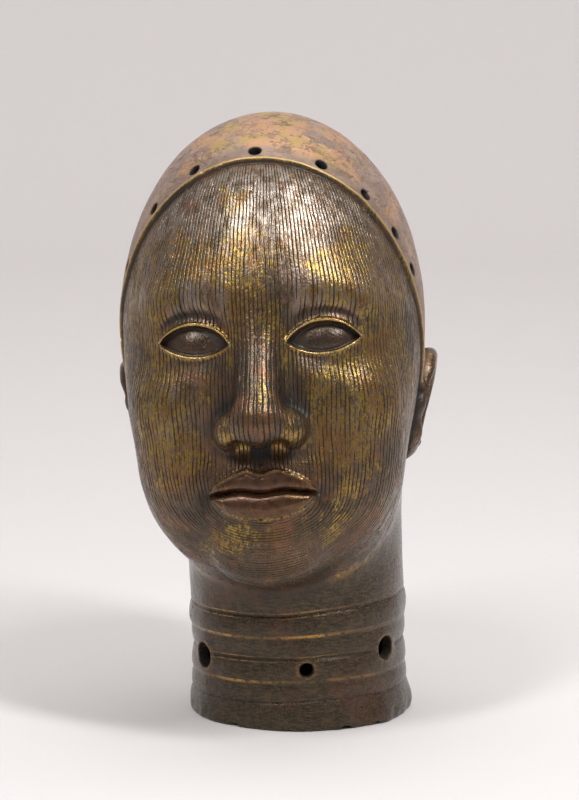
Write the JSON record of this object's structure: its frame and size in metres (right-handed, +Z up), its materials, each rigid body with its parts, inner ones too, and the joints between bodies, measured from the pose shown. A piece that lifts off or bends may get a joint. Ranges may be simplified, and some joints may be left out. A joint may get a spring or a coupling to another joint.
{
  "type": "cast bronze head",
  "caption": "Life-size hollow cast bronze head with a plain raised cap of hair, pierced hairline and neck, open under its foot.",
  "frame": {"origin": "middle of the object's box at the level of the foot it stands on", "axes": "+Z up from the foot to the crown; the face looks along -Y; the head's own left side is +X"},
  "size_m": [0.158, 0.2172, 0.3],
  "materials": {
    "bronze": "cast copper alloy with dark brown patina, worn to golden brass on its ridges"
  },
  "bodies": {
    "root": {"cast_head": "bronze"}
  },
  "joints": []
}
